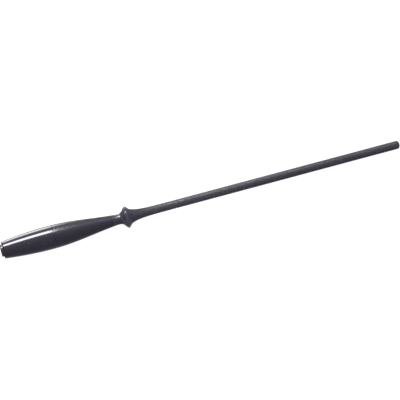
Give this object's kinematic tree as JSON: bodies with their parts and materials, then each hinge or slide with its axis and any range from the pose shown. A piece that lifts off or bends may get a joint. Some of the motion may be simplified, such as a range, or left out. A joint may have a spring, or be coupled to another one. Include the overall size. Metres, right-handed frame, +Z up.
{
  "type": "knife sharpening steel",
  "caption": "Straight sharpening steel for butcher's knives: a finely cut round rod, a flared finger guard, and a turned handle with a textured grip and a polished barrel.",
  "frame": {"origin": "centre of the butt cap's flat end face", "axes": "+X along the tool's axis towards the tip, +Z up, the tool lies level"},
  "size_m": [0.4385, 0.0252, 0.0252],
  "materials": {
    "cut_steel": "dark steel cut with fine lengthwise ridges, satin",
    "polished_steel": "dark blue-grey steel, polished smooth",
    "textured_steel": "dark blue-grey steel with a fine pebbled non-slip texture",
    "zinc_plated_steel": "bright zinc plate",
    "seal_rubber": "matt black nitrile rubber",
    "bush_plastic": "natural nylon"
  },
  "bodies": {
    "root": {"sharpening_rod": "cut_steel", "guard_ring": "polished_steel", "guard_seal": "seal_rubber", "front_collar": "polished_steel", "tang_seal": "seal_rubber", "grip_sleeve": "textured_steel", "centring_bush": "bush_plastic", "seam_seal": "seal_rubber", "rear_barrel": "polished_steel", "tang_washer": "zinc_plated_steel", "spring_washer": "zinc_plated_steel", "tang_nut": "zinc_plated_steel", "cap_seal": "seal_rubber", "butt_cap": "polished_steel"}
  },
  "joints": []
}
